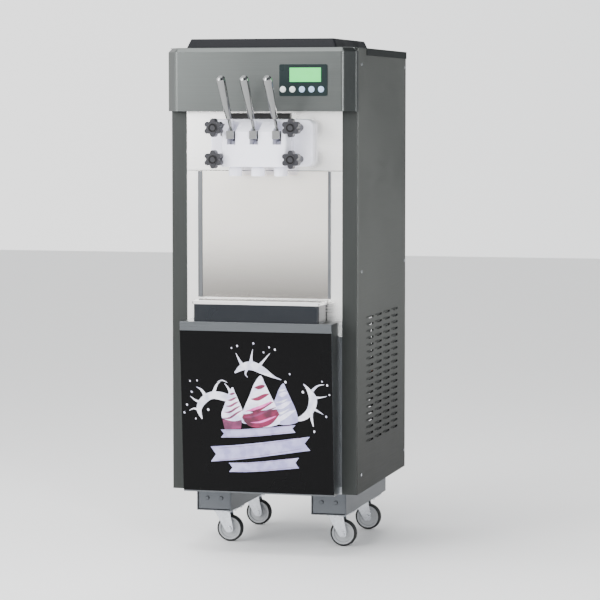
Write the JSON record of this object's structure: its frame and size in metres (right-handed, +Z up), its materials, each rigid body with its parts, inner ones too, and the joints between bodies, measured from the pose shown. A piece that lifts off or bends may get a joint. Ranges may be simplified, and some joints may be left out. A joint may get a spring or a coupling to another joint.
{
  "type": "soft serve ice cream machine",
  "caption": "Floor-standing soft-serve ice cream machine on swivel casters with draw levers, drip tray, display panel and lift-off hopper lid.",
  "frame": {"origin": "centre of the overall footprint, on the floor", "axes": "+Z up, the front with the levers faces -Y, +X is to the machine's right as seen from the front"},
  "size_m": [0.53, 0.8164, 1.4093],
  "materials": {
    "dark_stainless": "brushed, dark tinted",
    "bright_stainless": "brushed",
    "galvanised_steel": "dull zinc",
    "zinc_bright": "bright zinc",
    "caster_rubber": "matt",
    "white_acetal": "satin white",
    "seal_rubber": "matt",
    "polished_steel": "polished",
    "knob_plastic": "dark grey",
    "lid_plastic": "black",
    "bezel_plastic": "dark teal",
    "lit_screen": "lit liquid crystal",
    "key_plastic": "satin",
    "gloss_black_panel": "gloss printed panel",
    "tray_steel": "dark blue grey",
    "grate_steel": "brushed",
    "motor_enamel": "black enamel",
    "coil_aluminium": "finned",
    "fan_plastic": "black",
    "copper_tube": "copper"
  },
  "bodies": {
    "cabinet": {"air_tubes": "grate_steel", "base_rails": "galvanised_steel", "base_tray": "galvanised_steel", "cable_gland": "lid_plastic", "caster_plates": "zinc_bright", "compressor": "motor_enamel", "condenser": "coil_aluminium", "control_housing": "bright_stainless", "dispensing_head": "white_acetal", "display_bezel": "bezel_plastic", "display_window": "lit_screen", "door_panel": "gloss_black_panel", "door_shell": "bright_stainless", "electrical_box": "galvanised_steel", "fan_motor": "motor_enamel", "fan_shroud": "galvanised_steel", "frame": "galvanised_steel", "freezing_cylinders": "grate_steel", "front_wall": "bright_stainless", "gear_motors": "motor_enamel", "head_seals": "seal_rubber", "hoppers": "bright_stainless", "left_side_panel": "dark_stainless", "lever_pivot_pin": "polished_steel", "panel_screws": "zinc_bright", "rear_panel": "dark_stainless", "refrigerant_pipes": "copper_tube", "right_side_panel": "dark_stainless", "splash_plate": "bright_stainless", "spout_caps": "white_acetal", "top_cover": "dark_stainless"},
    "control_button_1": {"control_button_1": "key_plastic"},
    "control_button_2": {"control_button_2": "key_plastic"},
    "control_button_3": {"control_button_3": "key_plastic"},
    "control_button_4": {"control_button_4": "key_plastic"},
    "control_button_5": {"control_button_5": "key_plastic"},
    "left_draw_lever": {"left_draw_lever": "polished_steel"},
    "left_draw_piston": {"left_draw_piston": "white_acetal"},
    "middle_draw_lever": {"middle_draw_lever": "polished_steel"},
    "middle_draw_piston": {"middle_draw_piston": "white_acetal"},
    "right_draw_lever": {"right_draw_lever": "polished_steel"},
    "right_draw_piston": {"right_draw_piston": "white_acetal"},
    "left_lower_star_knob": {"left_lower_star_knob": "knob_plastic"},
    "left_upper_star_knob": {"left_upper_star_knob": "knob_plastic"},
    "right_lower_star_knob": {"right_lower_star_knob": "knob_plastic"},
    "right_upper_star_knob": {"right_upper_star_knob": "knob_plastic"},
    "left_beater": {"left_beater": "grate_steel"},
    "right_beater": {"right_beater": "grate_steel"},
    "condenser_fan": {"condenser_fan": "fan_plastic"},
    "hopper_lid": {"hopper_lid": "lid_plastic"},
    "drip_tray": {"drip_tray": "tray_steel"},
    "drip_grate": {"drip_grate": "grate_steel"},
    "front_left_caster_fork": {"front_left_caster_fork": "zinc_bright"},
    "front_left_caster_wheel": {"front_left_caster_wheel": "caster_rubber"},
    "front_right_caster_fork": {"front_right_caster_fork": "zinc_bright"},
    "front_right_caster_wheel": {"front_right_caster_wheel": "caster_rubber"},
    "rear_left_caster_fork": {"rear_left_caster_fork": "zinc_bright"},
    "rear_left_caster_wheel": {"rear_left_caster_wheel": "caster_rubber"},
    "rear_right_caster_fork": {"rear_right_caster_fork": "zinc_bright"},
    "rear_right_caster_wheel": {"rear_right_caster_wheel": "caster_rubber"}
  },
  "joints": [
    {"name": "control_button_1_press", "type": "slide", "parent": "cabinet", "child": "control_button_1", "axis": [0, 1, 0], "range_m": [0, 0.0012], "stiffness_N_per_m": 1200, "springref_m": -0.001},
    {"name": "control_button_2_press", "type": "slide", "parent": "cabinet", "child": "control_button_2", "axis": [0, 1, 0], "range_m": [0, 0.0012], "stiffness_N_per_m": 1200, "springref_m": -0.001},
    {"name": "control_button_3_press", "type": "slide", "parent": "cabinet", "child": "control_button_3", "axis": [0, 1, 0], "range_m": [0, 0.0012], "stiffness_N_per_m": 1200, "springref_m": -0.001},
    {"name": "control_button_4_press", "type": "slide", "parent": "cabinet", "child": "control_button_4", "axis": [0, 1, 0], "range_m": [0, 0.0012], "stiffness_N_per_m": 1200, "springref_m": -0.001},
    {"name": "control_button_5_press", "type": "slide", "parent": "cabinet", "child": "control_button_5", "axis": [0, 1, 0], "range_m": [0, 0.0012], "stiffness_N_per_m": 1200, "springref_m": -0.001},
    {"name": "left_lever_pull", "type": "hinge", "parent": "cabinet", "child": "left_draw_lever", "pos_m": [-0.064, -0.28781, 1.15], "axis": [1, 0, 0], "range_deg": [0, 40]},
    {"name": "left_piston_lift", "type": "slide", "parent": "cabinet", "child": "left_draw_piston", "axis": [0, 0, 1], "range_m": [0, 0.0206]},
    {"name": "middle_lever_pull", "type": "hinge", "parent": "cabinet", "child": "middle_draw_lever", "pos_m": [0, -0.28781, 1.15], "axis": [1, 0, 0], "range_deg": [0, 40]},
    {"name": "middle_piston_lift", "type": "slide", "parent": "cabinet", "child": "middle_draw_piston", "axis": [0, 0, 1], "range_m": [0, 0.0206]},
    {"name": "right_lever_pull", "type": "hinge", "parent": "cabinet", "child": "right_draw_lever", "pos_m": [0.064, -0.28781, 1.15], "axis": [1, 0, 0], "range_deg": [0, 40]},
    {"name": "right_piston_lift", "type": "slide", "parent": "cabinet", "child": "right_draw_piston", "axis": [0, 0, 1], "range_m": [0, 0.0206]},
    {"name": "left_lower_star_knob_turn", "type": "hinge", "parent": "cabinet", "child": "left_lower_star_knob", "pos_m": [-0.108, -0.29981, 1.084], "axis": [0, 1, 0], "continuous": true},
    {"name": "left_upper_star_knob_turn", "type": "hinge", "parent": "cabinet", "child": "left_upper_star_knob", "pos_m": [-0.108, -0.29981, 1.169], "axis": [0, 1, 0], "continuous": true},
    {"name": "right_lower_star_knob_turn", "type": "hinge", "parent": "cabinet", "child": "right_lower_star_knob", "pos_m": [0.108, -0.29981, 1.084], "axis": [0, 1, 0], "continuous": true},
    {"name": "right_upper_star_knob_turn", "type": "hinge", "parent": "cabinet", "child": "right_upper_star_knob", "pos_m": [0.108, -0.29981, 1.169], "axis": [0, 1, 0], "continuous": true},
    {"name": "left_beater_spin", "type": "hinge", "parent": "cabinet", "child": "left_beater", "pos_m": [-0.062, -0.04981, 1.127], "axis": [0, 1, 0], "continuous": true},
    {"name": "right_beater_spin", "type": "hinge", "parent": "cabinet", "child": "right_beater", "pos_m": [0.062, -0.04981, 1.127], "axis": [0, 1, 0], "continuous": true},
    {"name": "condenser_fan_spin", "type": "hinge", "parent": "cabinet", "child": "condenser_fan", "pos_m": [0, -0.08981, 0.375], "axis": [0, 1, 0], "continuous": true},
    {"name": "hopper_lid_lift", "type": "slide", "parent": "cabinet", "child": "hopper_lid", "axis": [0, 0, 1], "range_m": [0, 0.25]},
    {"name": "drip_tray_pull", "type": "slide", "parent": "cabinet", "child": "drip_tray", "axis": [0, -1, 0], "range_m": [0, 0.08]},
    {"name": "drip_grate_lift", "type": "slide", "parent": "drip_tray", "child": "drip_grate", "axis": [0, 0, 1], "range_m": [0, 0.05]},
    {"name": "front_left_caster_swivel", "type": "hinge", "parent": "cabinet", "child": "front_left_caster_fork", "pos_m": [-0.165, -0.03481, 0.085], "axis": [0, 0, 1], "continuous": true},
    {"name": "front_left_caster_roll", "type": "hinge", "parent": "front_left_caster_fork", "child": "front_left_caster_wheel", "pos_m": [-0.145, -0.03481, 0.0375], "axis": [0, 1, 0], "continuous": true},
    {"name": "front_right_caster_swivel", "type": "hinge", "parent": "cabinet", "child": "front_right_caster_fork", "pos_m": [0.165, -0.03481, 0.085], "axis": [0, 0, 1], "continuous": true},
    {"name": "front_right_caster_roll", "type": "hinge", "parent": "front_right_caster_fork", "child": "front_right_caster_wheel", "pos_m": [0.185, -0.03481, 0.0375], "axis": [0, 1, 0], "continuous": true},
    {"name": "rear_left_caster_swivel", "type": "hinge", "parent": "cabinet", "child": "rear_left_caster_fork", "pos_m": [-0.165, 0.26519, 0.085], "axis": [0, 0, 1], "continuous": true},
    {"name": "rear_left_caster_roll", "type": "hinge", "parent": "rear_left_caster_fork", "child": "rear_left_caster_wheel", "pos_m": [-0.145, 0.26519, 0.0375], "axis": [0, 1, 0], "continuous": true},
    {"name": "rear_right_caster_swivel", "type": "hinge", "parent": "cabinet", "child": "rear_right_caster_fork", "pos_m": [0.165, 0.26519, 0.085], "axis": [0, 0, 1], "continuous": true},
    {"name": "rear_right_caster_roll", "type": "hinge", "parent": "rear_right_caster_fork", "child": "rear_right_caster_wheel", "pos_m": [0.185, 0.26519, 0.0375], "axis": [0, 1, 0], "continuous": true}
  ],
  "couplings": [
    {"joint": "left_piston_lift", "follows": "left_lever_pull", "m_per_rad": 0.029394},
    {"joint": "middle_piston_lift", "follows": "middle_lever_pull", "m_per_rad": 0.029394},
    {"joint": "right_piston_lift", "follows": "right_lever_pull", "m_per_rad": 0.029394}
  ]
}
